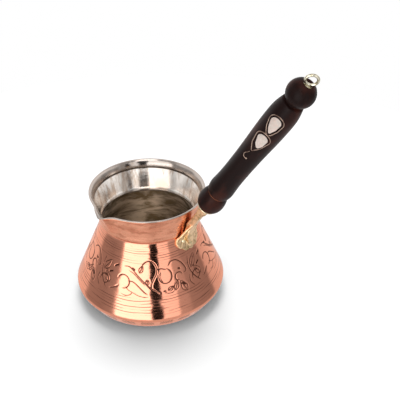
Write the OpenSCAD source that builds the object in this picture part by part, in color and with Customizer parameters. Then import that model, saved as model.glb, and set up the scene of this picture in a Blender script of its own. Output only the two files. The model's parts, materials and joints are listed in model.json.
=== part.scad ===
// Turkish coffee pot (cezve): a raised copper pot, tinned inside, with a pinched spout, a riveted
// brass bracket and a turned wooden handle that a long rod clamps between bracket and hanging eye.
// Origin: centre of the base's resting face. +Z is up and the handle leans out along +X.

/* [Pot] */
// Widest diameter, at the belly edge
belly_d = 100; // [96:1:106]
// Height of the rim above the base
pot_h = 79.4; // [77:0.2:82]
// Height of the belly edge's widest line
belly_z = 11.3; // [10:0.1:13]
// Radius of the rounded belly edge
belly_round = 4.3; // [3.5:0.1:5]
// Lean of the conical wall from vertical, in degrees
wall_lean = 23; // [22:0.5:24]
// Lean of the turned-in wall under the belly, from vertical, in degrees
foot_lean = 33.3; // [28:0.1:38]
// Radius of the edge round the resting face
foot_round = 2; // [1.5:0.1:3]
// Height of the crease between the body and the flared mouth
neck_z = 58.8; // [57:0.2:60]
// Outer radius at the crease
neck_r = 31.5; // [31:0.1:32]
// Outer diameter of the rim
rim_d = 74.8; // [73:0.2:77]
// Height of the rolled lip under the rim
lip_h = 5.4; // [4:0.1:7]
// Thickness of the copper
copper_t = 1; // [0.8:0.1:1.2]
// Thickness of the tin layer
tin_t = 0.25; // [0.2:0.05:0.4]

/* [Spout] */
// Direction of the spout round the pot, from the handle, in degrees
spout_az = -94; // [-100:1:-85]
// Distance of the spout's tip from the pot's axis
spout_reach = 41.6; // [40:0.2:43]

/* [Handle] */
// Lean of the handle from vertical, in degrees
handle_lean = 32.1; // [31:0.1:33]
// Distance of the lower bead's centre from the pot's axis
bead_x = 51.6; // [51:0.1:53]
// Height of the lower bead's centre
bead_z = 91.8; // [91:0.1:93]
// Radius of the lower bead
bead_r = 8.3; // [8:0.1:9]
// Radius of the knob at the far end
knob_r = 8.1; // [7.5:0.1:8.5]
// Distance from the bead's centre to the knob's centre
knob_s = 102.8; // [100:0.1:106]
// Radius of the rod through the handle
rod_r = 2; // [1.8:0.1:2.2]

/* [Hanging eye] */
// Radius of the eye's hole
eye_hole_r = 2.5; // [2.2:0.1:2.8]
// Radius of the eye's wire
eye_wire_r = 0.9; // [0.8:0.05:1]
// Turn of the eye about the handle, in degrees
eye_turn = -52; // [-90:1:0]

/* [Bracket] */
// Thickness of the leaf plate
leaf_t = 1.6; // [1.2:0.1:2]
// Thickness of the arm
arm_t = 4.2; // [3.6:0.1:4.6]
// Radius of a rivet's shank
rivet_r = 1; // [0.8:0.1:1.2]

/* [Hidden] */
$fn = 96;
belly_r = belly_d / 2;
rim_r = rim_d / 2;
belly_c = [belly_r - belly_round, belly_z];
foot_n = [cos(foot_lean), -sin(foot_lean)];
foot_x = belly_c[0] + (belly_round - foot_round - (foot_round - belly_z) * foot_n[1]) / foot_n[0];
shoulder = [neck_r + 0.8, neck_z + 1];
lip = [rim_r - 1.8, pot_h - lip_h];
lining_t = copper_t + tin_t;
spout_half = acos(rim_r / spout_reach);

// Stations along the handle, measured from the bead's centre
wood_lo = -6.2;
ferrule_t = 1;
flange_t = 1;
flange_s = wood_lo - ferrule_t - flange_t;
rod_lo = flange_s - 5;
groove_s = 8.6;
knob_lo = knob_s - 7;
wood_hi = knob_s + 7.4;
rod_hi = knob_s + 2.5;
ring_s = knob_s + 10.3;
ring_r = eye_hole_r + 0.7;
shank_r = rod_r + 1;

// Lower end of the arm's root on the leaf
leaf_lo = 50;

// Rivets: direction round the pot, in degrees, and height
rivets = [[-8, 55], [8, 55], [0, 51.6]];

// Inlay: each outline is a chain of circles [across, along, radius] that shrink towards its tip
pearl_hi = [[1.05, 84.2, 3.2], [1.45, 80.3, 2.4], [1.85, 76.4, 0.7]];
pearl_lo = [[1.15, 69.7, 3.2], [1.6, 65.6, 2.4], [1.9, 62.9, 0.9]];
wire_lo = [[1.05, 69.9, 4.3], [0.75, 64.3, 3.1], [0.6, 59, 0.4]];
wire_gap = 0.8;
wire_w = 0.5;
pearl_floor = 6;
wire_floor = 5;
dot_at = [1, 51.4];
dot_r = 0.6;
curl_c = [0.8, 53.1];
curl_r = 2.4;

function unit_normal(a, b) = [b[1] - a[1], a[0] - b[0]] / norm(b - a);
function arc(c, r, a0, a1, n) = [for (i = [0:n]) let (a = a0 + (a1 - a0) * i / n) c + r * [cos(a), sin(a)]];
function bend(a, b, c, n) = [for (i = [1:n]) let (t = i / n) (1 - t) * (1 - t) * a + 2 * t * (1 - t) * b + t * t * c];
function cone_r(z) = belly_c[0] + (belly_round - (z - belly_z) * sin(wall_lean)) / cos(wall_lean);

// A path moved to its inner side by t, parallel to itself
function inset(path, t) = let (last = len(path) - 1) [
    for (i = [0:last])
        let (before = unit_normal(path[max(i - 1, 0)], path[max(i, 1)]),
             after = unit_normal(path[min(i, last - 1)], path[min(i + 1, last)]))
        path[i] - t * (before + after) / (1 + before * after)];

cone_top = [cone_r(neck_z - 8.8), neck_z - 8.8];
cone_knee = [cone_r(neck_z - 3.8), neck_z - 3.8];
outline = concat(
    [[0, 0]],
    arc([foot_x, foot_round], foot_round, -90, -foot_lean, 4),
    arc(belly_c, belly_round, -foot_lean, wall_lean, 8),
    [cone_top],
    bend(cone_top, cone_knee, [neck_r, neck_z], 4),
    [shoulder],
    bend(shoulder, [shoulder[0] + 0.8, neck_z + 8], lip, 5),
    bend(lip, [lip[0] + 0.4, pot_h - 2.5], [rim_r, pot_h], 3));

function wall_r(z) = lookup(z, [for (p = outline) if (p[1] > belly_z) [p[1], p[0]]]);
function lean_at(z) = atan((wall_r(z - 1) - wall_r(z + 1)) / 2);

// The pot as a solid, its surface moved in by t, and run on above the rim by over
module vessel_solid(t, over) {
    path = inset(outline, t);
    rotate_extrude() polygon(concat(path, [[path[len(path) - 1][0], pot_h + over], [0, pot_h + over]]));
    spout_wedge(t, over);
}

// The V-shaped beak: two flat sides that leave the rim's circle and meet in a ridge
module spout_wedge(t, over) {
    foot = [shoulder[0] - 1.25 * t, 0, neck_z + 1.8];
    side = rim_r - 1.1 * t;
    reach = 1 + over / (pot_h - foot[2]);
    rim_points = [[spout_reach - 1.25 * t, 0, pot_h],
                  [side * cos(spout_half), side * sin(spout_half), pot_h],
                  [side * cos(spout_half), -side * sin(spout_half), pot_h]];
    rotate([0, 0, spout_az])
        polyhedron(concat([foot], [for (p = rim_points) foot + reach * (p - foot)]),
                   [[0, 1, 2], [0, 3, 1], [0, 2, 3], [1, 3, 2]]);
}

// Places children on the handle's axis: local +Z runs from the bead's centre to the knob
module on_handle(s) {
    translate([bead_x, 0, bead_z]) rotate([0, handle_lean, 0]) translate([0, 0, s]) children();
}

// Places children at a rivet: local +Z points out of the wall
module at_rivet(r) {
    rotate([0, 0, r[0]]) translate([wall_r(r[1]), 0, r[1]]) rotate([0, 90 - lean_at(r[1]), 0]) children();
}

module rivet_shanks() {
    for (r = rivets) at_rivet(r) translate([0, 0, -3]) cylinder(r = rivet_r, h = 6);
}

module pot_body() {
    color([0.79, 0.45, 0.33]) difference() {
        vessel_solid(0, 0);
        vessel_solid(copper_t, 2);
        rivet_shanks();
    }
}

module tin_lining() {
    color([0.75, 0.73, 0.69]) difference() {
        intersection() {
            vessel_solid(copper_t, 2);
            cylinder(r = belly_d, h = pot_h);
        }
        vessel_solid(lining_t, 3);
        rivet_shanks();
    }
}

// Outline of the cast leaf: a heart of round lobes, drawn across and up the wall
module leaf() {
    translate([0, 54.6]) circle(r = 5.6);
    for (side = [-1, 1]) {
        translate([side * 6.3, 54.6]) circle(r = 3.9);
        translate([side * 4, 52]) circle(r = 3.2);
    }
    translate([0, 50.9]) circle(r = 2.6);
}

// The arm seen from the side, and seen from the front
module arm_side() {
    half = arm_t / 2;
    top = [bead_x, bead_z] + flange_s * [sin(handle_lean), cos(handle_lean)];
    low = top - 20.5 * [sin(handle_lean), cos(handle_lean)];
    across = half * [cos(handle_lean), -sin(handle_lean)];
    polygon(concat(
        [top - across, low - across, [wall_r(62) + 0.4, 62], [neck_r - 1.2, neck_z], [neck_r - 1.2, leaf_lo]],
        [[wall_r(leaf_lo) + 1.7, leaf_lo]],
        bend([wall_r(leaf_lo) + 1.7, leaf_lo], [neck_r + 4, neck_z], low + across, 6),
        [top + across]));
}

module arm_front() {
    half = concat([[1.2, leaf_lo]], bend([1.8, 52.6], [5.6, 58.5], [3.6, 65], 6), bend([3.6, 65], [3, 75], [3.6, 88], 4));
    polygon(concat(half, [for (i = [len(half) - 1:-1:0]) [-half[i][0], half[i][1]]]));
}

module handle_bracket() {
    color([0.80, 0.65, 0.38]) difference() {
        union() {
            intersection() {
                rotate_extrude() polygon(concat(inset(outline, -leaf_t), [[0, pot_h]]));
                translate([20, 0, 0]) rotate([90, 0, 90]) linear_extrude(20) leaf();
            }
            intersection() {
                translate([0, 10, 0]) rotate([90, 0, 0]) linear_extrude(20) arm_side();
                translate([20, 0, 0]) rotate([90, 0, 90]) linear_extrude(40) arm_front();
            }
            on_handle(flange_s) cylinder(r = 5.3, h = flange_t);
            on_handle(rod_lo - 0.8) cylinder(r = 3.4, h = flange_s - rod_lo + 1);
            on_handle(rod_lo - 4.8) cylinder(r1 = 1.8, r2 = 3.4, h = 4);
        }
        rotate_extrude() polygon(concat(outline, [[0, pot_h]]));
        on_handle(rod_lo) cylinder(r = rod_r, h = 20);
        rivet_shanks();
    }
}

module bracket_rivets() {
    head_r = 1.9;
    color([0.85, 0.72, 0.46]) for (r = rivets) at_rivet(r) {
        translate([0, 0, -lining_t - 0.3]) cylinder(r = rivet_r, h = lining_t + leaf_t + 0.6);
        translate([0, 0, -lining_t - 0.7]) cylinder(r = 1.7, h = 0.6);
        translate([0, 0, leaf_t]) intersection() {
            translate([0, 0, 0.9 - head_r]) sphere(r = head_r);
            cylinder(r = head_r, h = 1);
        }
    }
}

module handle_ferrule() {
    color([0.83, 0.72, 0.50]) on_handle(wood_lo - ferrule_t) difference() {
        cylinder(r = 6.2, h = ferrule_t);
        translate([0, 0, -1]) cylinder(r = rod_r + 0.2, h = ferrule_t + 2);
    }
}

// The turned wood: bead, grip and knob with a groove between each
module turned_wood() {
    bead_end = asin((groove_s - 0.4) / 13);
    bead = concat(
        [for (a = [-42:14:-14]) [bead_r * cos(a), 9.25 * sin(a)]],
        [for (i = [0:5]) [bead_r * cos(bead_end * i / 5), 13 * sin(bead_end * i / 5)]]);
    grip = concat([[5.9, groove_s], [6.7, groove_s + 0.5]],
                  bend([6.7, groove_s + 0.5], [7.75, 10.6], [7.7, 15], 4),
                  bend([7.7, 15], [7.05, 22], [7.05, 32], 4),
                  bend([7.05, 32], [7.05, 45], [7.7, 60], 4),
                  bend([7.7, 60], [8.4, 76], [8.15, 84], 4),
                  bend([8.15, 84], [8.05, 89.3], [6.3, knob_lo - 0.4], 5), [[4.6, knob_lo]]);
    knob = arc([0, knob_s], knob_r, asin((knob_lo + 0.2 - knob_s) / knob_r), asin((wood_hi - knob_s) / knob_r), 12);
    rotate_extrude() polygon(concat([[0, wood_lo]], bead, grip, knob, [[0, wood_hi]]));
}

// A drop's outline: a chain of three shrinking circles, grown by more, with straight sides between them
function drop_path(c, more) = let (
        to_b = atan2(c[1][1] - c[0][1], c[1][0] - c[0][0]),
        to_c = atan2(c[2][1] - c[1][1], c[2][0] - c[1][0]),
        open_b = acos((c[0][2] - c[1][2]) / norm([c[1][0] - c[0][0], c[1][1] - c[0][1]])),
        open_c = acos((c[1][2] - c[2][2]) / norm([c[2][0] - c[1][0], c[2][1] - c[1][1]])))
    concat(arc([c[0][0], c[0][1]], c[0][2] + more, to_b + open_b, to_b - open_b + 360, 16),
           arc([c[1][0], c[1][1]], c[1][2] + more, to_b - open_b, to_c - open_c, 3),
           arc([c[2][0], c[2][1]], c[2][2] + more, to_c - open_c, to_c + open_c, 6),
           arc([c[1][0], c[1][1]], c[1][2] + more, to_c + open_c, to_b + open_b, 3));

module drop(chain, more) { polygon(drop_path(chain, more)); }

module drop_line(chain, middle) {
    difference() {
        drop(chain, middle + wire_w / 2);
        drop(chain, middle - wire_w / 2);
    }
}

// Pushes a flat outline through the side of the handle that faces -Y, down to a flat floor
module into_side(floor_y) {
    on_handle(0) rotate([90, 0, 0]) translate([0, 0, floor_y]) linear_extrude(8) children();
}

module curl() {
    difference() {
        translate(curl_c) circle(r = curl_r + wire_w / 2);
        translate(curl_c) circle(r = curl_r - wire_w / 2);
        translate([curl_c[0], curl_c[1] - 8]) square([9, 16]);
        translate([curl_c[0] - 9, curl_c[1] - 8 - 0.7]) square([18, 7]);
    }
}

module wood_handle() {
    color([0.16, 0.09, 0.08]) difference() {
        on_handle(0) turned_wood();
        on_handle(wood_lo - 1) cylinder(r = rod_r + 0.2, h = wood_hi);
        on_handle(knob_lo + 2.5) cylinder(r = shank_r, h = 20);
        into_side(pearl_floor) drop(pearl_hi, 0);
        into_side(pearl_floor) drop(pearl_lo, 0);
        into_side(wire_floor) upper_line();
        into_side(wire_floor) drop_line(wire_lo, 0);
        into_side(wire_floor) curl();
        into_side(wire_floor) translate(dot_at) circle(r = dot_r);
    }
}

// The upper wire stops against the lower one
module upper_line() {
    difference() {
        drop_line(pearl_hi, wire_gap + wire_w / 2);
        drop(wire_lo, wire_w / 2);
    }
}

module inlay(floor_y) {
    intersection() {
        on_handle(0) turned_wood();
        into_side(floor_y) children();
    }
}

module pearl_upper() { color([0.90, 0.82, 0.76]) inlay(pearl_floor) drop(pearl_hi, 0); }
module pearl_lower() { color([0.90, 0.82, 0.76]) inlay(pearl_floor) drop(pearl_lo, 0); }
module wire_upper() { color([0.70, 0.56, 0.42]) inlay(wire_floor) upper_line(); }
module wire_lower() { color([0.70, 0.56, 0.42]) inlay(wire_floor) drop_line(wire_lo, 0); }
module wire_curl() { color([0.70, 0.56, 0.42]) inlay(wire_floor) curl(); }
module wire_dot() { color([0.70, 0.56, 0.42]) inlay(wire_floor) translate(dot_at) circle(r = dot_r); }

module tie_rod() {
    color([0.62, 0.62, 0.62]) on_handle(rod_lo) cylinder(r = rod_r, h = rod_hi - rod_lo);
}

// The eye: a ring on a sleeve that screws onto the rod inside the knob
module hanging_eye() {
    sleeve_lo = knob_lo + 2.5;
    color([0.76, 0.72, 0.60]) difference() {
        union() {
            on_handle(ring_s) rotate([0, 90, eye_turn]) rotate_extrude() intersection() {
                translate([ring_r, 0]) circle(r = eye_wire_r, $fn = 48);
                translate([eye_hole_r, -2]) square([6, 4]);
            }
            on_handle(sleeve_lo) cylinder(r = shank_r, h = ring_s - ring_r - 0.2 - sleeve_lo);
        }
        on_handle(sleeve_lo - 1) cylinder(r = rod_r, h = rod_hi - sleeve_lo + 1);
    }
}

pot_body();
tin_lining();
handle_bracket();
bracket_rivets();
handle_ferrule();
wood_handle();
tie_rod();
hanging_eye();
pearl_upper();
pearl_lower();
wire_upper();
wire_lower();
wire_curl();
wire_dot();
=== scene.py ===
import json
import math

import bpy
import numpy as np
from mathutils import Matrix, Vector
from mathutils.bvhtree import BVHTree
from mathutils.kdtree import KDTree

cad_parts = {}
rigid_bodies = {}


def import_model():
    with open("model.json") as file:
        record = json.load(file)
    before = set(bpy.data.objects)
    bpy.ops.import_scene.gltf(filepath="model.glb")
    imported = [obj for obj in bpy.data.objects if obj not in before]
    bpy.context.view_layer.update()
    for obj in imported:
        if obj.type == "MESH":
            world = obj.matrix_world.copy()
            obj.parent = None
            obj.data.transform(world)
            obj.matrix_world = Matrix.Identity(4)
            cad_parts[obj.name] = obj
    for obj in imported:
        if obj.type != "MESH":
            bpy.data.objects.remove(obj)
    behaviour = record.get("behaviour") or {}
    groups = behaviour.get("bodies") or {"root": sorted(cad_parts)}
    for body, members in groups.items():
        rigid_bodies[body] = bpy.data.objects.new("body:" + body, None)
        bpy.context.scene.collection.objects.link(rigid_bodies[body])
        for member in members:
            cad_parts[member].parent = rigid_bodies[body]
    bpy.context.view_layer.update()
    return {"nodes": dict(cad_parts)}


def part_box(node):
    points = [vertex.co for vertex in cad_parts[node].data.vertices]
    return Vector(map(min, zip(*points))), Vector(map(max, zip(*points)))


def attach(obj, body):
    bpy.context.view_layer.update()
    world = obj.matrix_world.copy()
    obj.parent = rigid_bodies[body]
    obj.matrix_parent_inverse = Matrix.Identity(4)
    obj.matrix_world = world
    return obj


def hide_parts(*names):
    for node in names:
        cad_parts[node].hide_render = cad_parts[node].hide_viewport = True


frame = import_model()

# A copper cezve. Every CAD node but the rivets and the tie rod is replaced by a finer mesh.
# The scene is built in millimetres in the CAD's frame, and scaled to metres as each mesh is made.
MM = 0.001


def box_mm(node):
    low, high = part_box(node)
    return np.array(low) / MM, np.array(high) / MM


# ---------------------------------------------------------------- sizes, from the frame

POT_HIGH = box_mm("pot_body")[1]
BELLY_R = POT_HIGH[0]
POT_H = POT_HIGH[2]
SCALE = BELLY_R / 50                   # the outline below is drawn for a 50 mm belly radius
BELLY_Z, BELLY_ROUND = 11.3 * SCALE, 4.3 * SCALE
WALL_LEAN, FOOT_LEAN = math.radians(23), math.radians(33.3)
FOOT_ROUND = 2.0 * SCALE
NECK_R, NECK_Z = 31.5 * SCALE, 58.8 * SCALE
RIM_R = 37.4 * SCALE
LIP_H = 5.4 * SCALE
COPPER_T, TIN_T = 1.0, 0.25
LINING_T = COPPER_T + TIN_T
SPOUT_AZ, SPOUT_REACH = math.radians(-94), 41.6 * SCALE

FERRULE_C = sum(box_mm("handle_ferrule")) / 2
ROD_C = sum(box_mm("tie_rod")) / 2
HANDLE_U = (ROD_C - FERRULE_C) / np.linalg.norm(ROD_C - FERRULE_C)
HANDLE_LEAN = math.atan2(HANDLE_U[0], HANDLE_U[2])
WOOD_LO, FERRULE_T, FERRULE_R = -6.2, 1.0, 6.2
BEAD_C = FERRULE_C + HANDLE_U * (FERRULE_T / 2 - WOOD_LO)
BEAD_R, KNOB_R, KNOB_S = 8.3, 8.1, 102.8
WOOD_HI = KNOB_S + 7.4
GROOVE_S = 8.6
SHANK_R = 3.0
RING_S, RING_R, WIRE_R = KNOB_S + 10.3, 3.3, 0.8
EYE_TURN = math.radians(-52)
HANDLE = Matrix.Translation(Vector(BEAD_C)) @ Matrix.Rotation(HANDLE_LEAN, 4, "Y")


# ---------------------------------------------------------------- mesh helpers

def on_handle(points):
    """Points drawn round the handle's axis, moved to where the handle is."""
    m = np.array(HANDLE)
    return np.asarray(points, float) @ m[:3, :3].T + m[:3, 3]


def make_piece(name, points, faces, material, node):
    """A smooth mesh from points in millimetres, which stands for a CAD node, whose own mesh is hidden."""
    mesh = bpy.data.meshes.new(name)
    mesh.from_pydata((np.asarray(points) * MM).tolist(), [], [list(f) for f in faces])
    mesh.materials.append(material)
    mesh.polygons.foreach_set("use_smooth", [True] * len(mesh.polygons))
    mesh.update()
    piece = bpy.data.objects.new(name, mesh)
    bpy.context.scene.collection.objects.link(piece)
    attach(piece, "root")
    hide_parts(node)
    return piece


def recolour(node, material):
    """Gives a CAD node that keeps its own mesh another material."""
    frame["nodes"][node].data.materials.clear()
    frame["nodes"][node].data.materials.append(material)


def arc(centre, r, start, end, n):
    """Points (across, up) round part of a circle."""
    a = np.linspace(start, end, n + 1)
    return np.c_[centre[0] + r * np.cos(a), centre[1] + r * np.sin(a)]


def bend(a, b, c, n):
    """A curve from a to c, drawn towards b, without its first point."""
    t = np.linspace(0, 1, n + 1)[1:, None]
    return (1 - t) ** 2 * np.array(a) + 2 * t * (1 - t) * np.array(b) + t ** 2 * np.array(c)


def spline(points, step):
    """A smooth curve through points, sampled about every step."""
    p = np.asarray(points, float)
    p = np.vstack([2 * p[0] - p[1], p, 2 * p[-1] - p[-2]])
    out = []
    for a, b, c, d in zip(p[:-3], p[1:-2], p[2:-1], p[3:]):
        n = max(2, int(np.linalg.norm(c - b) / step))
        t = np.arange(n)[:, None] / n
        out.append(0.5 * (2 * b + (c - a) * t + (2 * a - 5 * b + 4 * c - d) * t ** 2
                          + (3 * b - a - 3 * c + d) * t ** 3))
    return np.vstack(out + [p[-2:-1]])


def resample(path, step):
    """A path again, in even steps of about step."""
    length = np.r_[0, np.cumsum(np.linalg.norm(np.diff(path, axis=0), axis=1))]
    n = max(2, int(round(length[-1] / step)))
    at = np.linspace(0, length[-1], n + 1)
    return np.c_[np.interp(at, length, path[:, 0]), np.interp(at, length, path[:, 1])]


def soften(path, rounds):
    """Rounds a path's corners, keeping its ends."""
    p = path.copy()
    for _ in range(rounds):
        p[1:-1] = (p[:-2] + 2 * p[1:-1] + p[2:]) / 4
    return p


def inset(path, t):
    """A path moved to its inner side by t, parallel to itself."""
    step = np.diff(path, axis=0)
    normal = np.c_[step[:, 1], -step[:, 0]] / np.linalg.norm(step, axis=1)[:, None]
    before, after = np.vstack([normal[:1], normal]), np.vstack([normal, normal[-1:]])
    return path - t * (before + after) / (1 + (before * after).sum(1))[:, None]


def stitch(a, na, b, nb):
    """Faces between ring a of na points and the next ring b, where one may have twice the other's points."""
    faces = []
    if na == nb:
        for i in range(na):
            j = (i + 1) % na
            faces.append((a + i, a + j, b + j, b + i))
    elif na == 2 * nb:
        for i in range(nb):
            j, k, m = 2 * i + 1, (2 * i + 2) % na, (i + 1) % nb
            faces += [(a + 2 * i, a + j, b + i), (a + j, b + m, b + i), (a + j, a + k, b + m)]
    elif nb == 2 * na:
        for i in range(na):
            j, k, m = 2 * i + 1, (2 * i + 2) % nb, (i + 1) % na
            faces += [(a + i, b + j, b + 2 * i), (a + i, a + m, b + j), (a + m, b + k, b + j)]
    return faces


def lathe(path, counts, place):
    """A closed skin of revolution, whose path starts and ends on the axis.

    place(r, z, angles, index) gives a ring's points.
    """
    points, faces, starts = [], [], []
    total = 0
    for i, (r, z) in enumerate(path):
        n = counts[i]
        if n == 1:
            ring = np.array([[0.0, 0.0, z]])
        else:
            ring = place(r, z, np.arange(n) * 2 * math.pi / n, i)
        starts.append(total)
        points.append(ring)
        total += len(ring)
    for i in range(len(path) - 1):
        a, b, na, nb = starts[i], starts[i + 1], counts[i], counts[i + 1]
        if na == 1:
            faces += [(a, b + (j + 1) % nb, b + j) for j in range(nb)]
        elif nb == 1:
            faces += [(a + j, a + (j + 1) % na, b) for j in range(na)]
        else:
            faces += stitch(a, na, b, nb)
    return np.vstack(points), faces


def round_ring(r, z, angles, index):
    """The plain ring, for lathe."""
    return np.c_[r * np.cos(angles), r * np.sin(angles), np.full(len(angles), z)]


def tube(centres, radius, sides, closed=False, squash=1.0, flat_to=None):
    """A round wire along centres. radius may vary along it. Open ends are capped with a point."""
    c = np.asarray(centres, float)
    n = len(c)
    radius = np.broadcast_to(radius, n)
    ahead = np.roll(c, -1, 0) - np.roll(c, 1, 0) if closed else np.gradient(c, axis=0)
    ahead /= np.linalg.norm(ahead, axis=1)[:, None]
    up = np.asarray(flat_to, float) if flat_to is not None else np.tile([0.31, 0.17, 0.93], (n, 1))
    side = np.cross(ahead, up)
    side /= np.linalg.norm(side, axis=1)[:, None]
    lift = np.cross(side, ahead)
    a = np.arange(sides) * 2 * math.pi / sides
    ring = (np.cos(a)[None, :, None] * side[:, None] + squash * np.sin(a)[None, :, None] * lift[:, None])
    points = (c[:, None] + ring * radius[:, None, None]).reshape(-1, 3)
    faces = []
    for i in range(n if closed else n - 1):
        faces += stitch(i * sides, sides, (i + 1) % n * sides, sides)
    if not closed:
        points = np.vstack([points, c[0] - ahead[0] * radius[0] * 0.6, c[-1] + ahead[-1] * radius[-1] * 0.6])
        first, last = n * sides, n * sides + 1
        faces += [(first, (j + 1) % sides, j) for j in range(sides)]
        end = (n - 1) * sides
        faces += [(last, end + j, end + (j + 1) % sides) for j in range(sides)]
    return points, faces


# ---------------------------------------------------------------- materials

class Nodes:
    """A short way to write a node tree."""

    def __init__(self, tree):
        self.tree = tree
        tree.nodes.clear()

    def add(self, kind, inputs=None, **settings):
        node = self.tree.nodes.new(kind)
        for key, value in settings.items():
            setattr(node, key, value)
        for key, value in (inputs or {}).items():
            if isinstance(value, bpy.types.NodeSocket):
                self.tree.links.new(value, node.inputs[key])
            else:
                node.inputs[key].default_value = value
        return node

    def math(self, operation, *values):
        node = self.add("ShaderNodeMath", operation=operation)
        for i, value in enumerate(values):
            if isinstance(value, bpy.types.NodeSocket):
                self.tree.links.new(value, node.inputs[i])
            else:
                node.inputs[i].default_value = value
        return node.outputs[0]

    def remap(self, value, low, high, to_low=0.0, to_high=1.0, smooth=True):
        node = self.add("ShaderNodeMapRange", {0: value, 1: low, 2: high, 3: to_low, 4: to_high})
        node.interpolation_type = "SMOOTHSTEP" if smooth else "LINEAR"
        return node.outputs[0]

    def mix(self, factor, a, b):
        node = self.add("ShaderNodeMix", data_type="RGBA")
        for index, value in ((0, factor), (6, a), (7, b)):
            if isinstance(value, bpy.types.NodeSocket):
                self.tree.links.new(value, node.inputs[index])
            else:
                node.inputs[index].default_value = value
        return node.outputs[2]

    def scaled(self, vector, scale):
        return self.add("ShaderNodeMapping", {"Vector": vector, "Scale": scale}).outputs[0]

    def noise(self, vector, scale, detail=4.0, rough=0.55, distort=0.0):
        return self.add("ShaderNodeTexNoise", {"Vector": vector, "Scale": scale, "Detail": detail,
                                               "Roughness": rough, "Distortion": distort}).outputs[0]

    def bump(self, height, strength, distance, normal=None):
        inputs = {"Height": height, "Strength": strength, "Distance": distance}
        if normal is not None:
            inputs["Normal"] = normal
        return self.add("ShaderNodeBump", inputs).outputs[0]


def material(name):
    m = bpy.data.materials.new(name)
    m.use_nodes = True
    return m, Nodes(m.node_tree)


def surface(n, **inputs):
    names = {key.replace("_", " "): value for key, value in inputs.items()}
    shader = n.add("ShaderNodeBsdfPrincipled", names)
    n.add("ShaderNodeOutputMaterial", {"Surface": shader.outputs[0]})


def rgb(r, g, b):
    return (r, g, b, 1.0)


def grey(level):
    return rgb(level, level, level)


# Turned and wiped metal carries rings round the pot's axis, which draw its highlights out up and down.
TURNED = 0.25
FLARE_TILT = 0.42                      # how far the tin's shading in the flare is tipped upwards


def around(n):
    return n.add("ShaderNodeTangent", direction_type="RADIAL", axis="Z").outputs[0]


def ring_lines(n, place, z, low, high, pitch):
    """Thin turned lines between two heights, each broken and wavy: 1 on a line, 0 off it."""
    drift = n.noise(n.scaled(place, (26, 26, 60)), 1.0, 2.0)
    patchy = n.noise(n.scaled(place, (45, 45, 420)), 1.0, 2.0, 0.5)
    phase = n.math("MULTIPLY_ADD", z, 1 / (pitch * MM), n.math("MULTIPLY", drift, 1.6))
    saw = n.math("ABSOLUTE", n.math("SUBTRACT", n.math("FRACT", phase), 0.5))
    line = n.remap(saw, 0.17, 0.07)
    over, under = n.remap(z, (low - 1) * MM, (low + 1.5) * MM), n.remap(z, high * MM, (high - 1.2) * MM)
    inside = n.math("MULTIPLY", over, under)
    return n.math("MULTIPLY", n.math("MULTIPLY", line, inside), n.remap(patchy, 0.40, 0.58))


def copper_material():
    """Copper: a polished wall with broken turned lines and engraved cuts, both darkened with painted shade,
    and a brushed, blotched mouth.
    """
    m, n = material("copper")
    place = n.add("ShaderNodeTexCoord").outputs["Object"]
    z = n.add("ShaderNodeSeparateXYZ", {0: place}).outputs[2]
    edge = n.add("ShaderNodeAttribute", attribute_name="cut_edge").outputs["Fac"]
    cut = n.remap(edge, 0.17, -0.06)
    mouth = n.remap(z, (NECK_Z - 0.2) * MM, (NECK_Z + 0.6) * MM)
    upper = ring_lines(n, place, z, NECK_Z - 13, NECK_Z - 0.6, 1.5)
    lower = ring_lines(n, place, z, BELLY_Z + 3.5, 26, 1.7)
    rings = n.math("MAXIMUM", upper, lower)
    fine = n.noise(n.scaled(place, (14, 14, 2600)), 1.0, 3.0, 0.6)
    brushed = n.noise(n.scaled(place, (70, 70, 700)), 1.0, 6.0, 0.7, 0.8)
    cloud = n.noise(place, 55.0, 3.0)
    planish = n.noise(n.scaled(place, (38, 38, 110)), 1.0, 2.0, 0.5, 0.4)
    scratches = n.remap(n.noise(n.scaled(place, (240, 90, 900)), 1.0, 2.0, 0.5, 1.5), 0.62, 0.70)
    tone = n.mix(cloud, rgb(0.77, 0.305, 0.195), rgb(0.84, 0.36, 0.24))
    blotch = n.noise(n.scaled(place, (1, 1, 1.7)), 95.0, 4.0, 0.6, 0.4)
    lip = n.mix(n.remap(brushed, 0.32, 0.70), rgb(0.74, 0.32, 0.20), rgb(0.95, 0.46, 0.30))
    lip = n.mix(n.math("MULTIPLY", n.remap(blotch, 0.50, 0.66), 0.6), lip, rgb(0.42, 0.14, 0.075))
    tone = n.mix(mouth, tone, lip)
    foot = n.remap(z, (BELLY_Z + 1) * MM, (BELLY_Z - 3) * MM)
    tone = n.mix(foot, tone, rgb(0.88, 0.33, 0.20))
    tone = n.mix(n.math("MULTIPLY", scratches, 0.3), tone, rgb(0.42, 0.16, 0.10))
    # Painted shade: the turned lines and the engraved cuts are darkened, standing in for the shade in their
    # grooves.
    tone = n.mix(n.math("MULTIPLY", rings, 0.82), tone, rgb(0.13, 0.04, 0.026))
    tone = n.mix(n.math("MULTIPLY", cut, 0.95), tone, rgb(0.075, 0.022, 0.014))
    rough = n.remap(cloud, 0.3, 0.7, 0.11, 0.16)
    rough = n.math("ADD", rough, n.math("MULTIPLY", mouth, n.remap(brushed, 0.3, 0.7, 0.10, 0.22)))
    rough = n.math("ADD", rough, n.math("MULTIPLY", n.math("MAXIMUM", cut, rings), 0.2))
    strokes = n.math("MULTIPLY", n.math("MULTIPLY", brushed, mouth), 1.6)
    height = n.math("ADD", n.math("MULTIPLY", fine, 0.4), strokes)
    height = n.math("SUBTRACT", height, n.math("ADD", cut, n.math("MULTIPLY", rings, 0.5)))
    ripple = n.bump(planish, 0.35, 0.0012)
    surface(n, Base_Color=tone, Metallic=1.0, Roughness=rough, Anisotropic=0.75, Anisotropic_Rotation=TURNED,
            Specular_Tint=rgb(1.0, 0.82, 0.74), Tangent=around(n),
            Normal=n.bump(height, 0.24, 0.00012, ripple))
    return m


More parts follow.
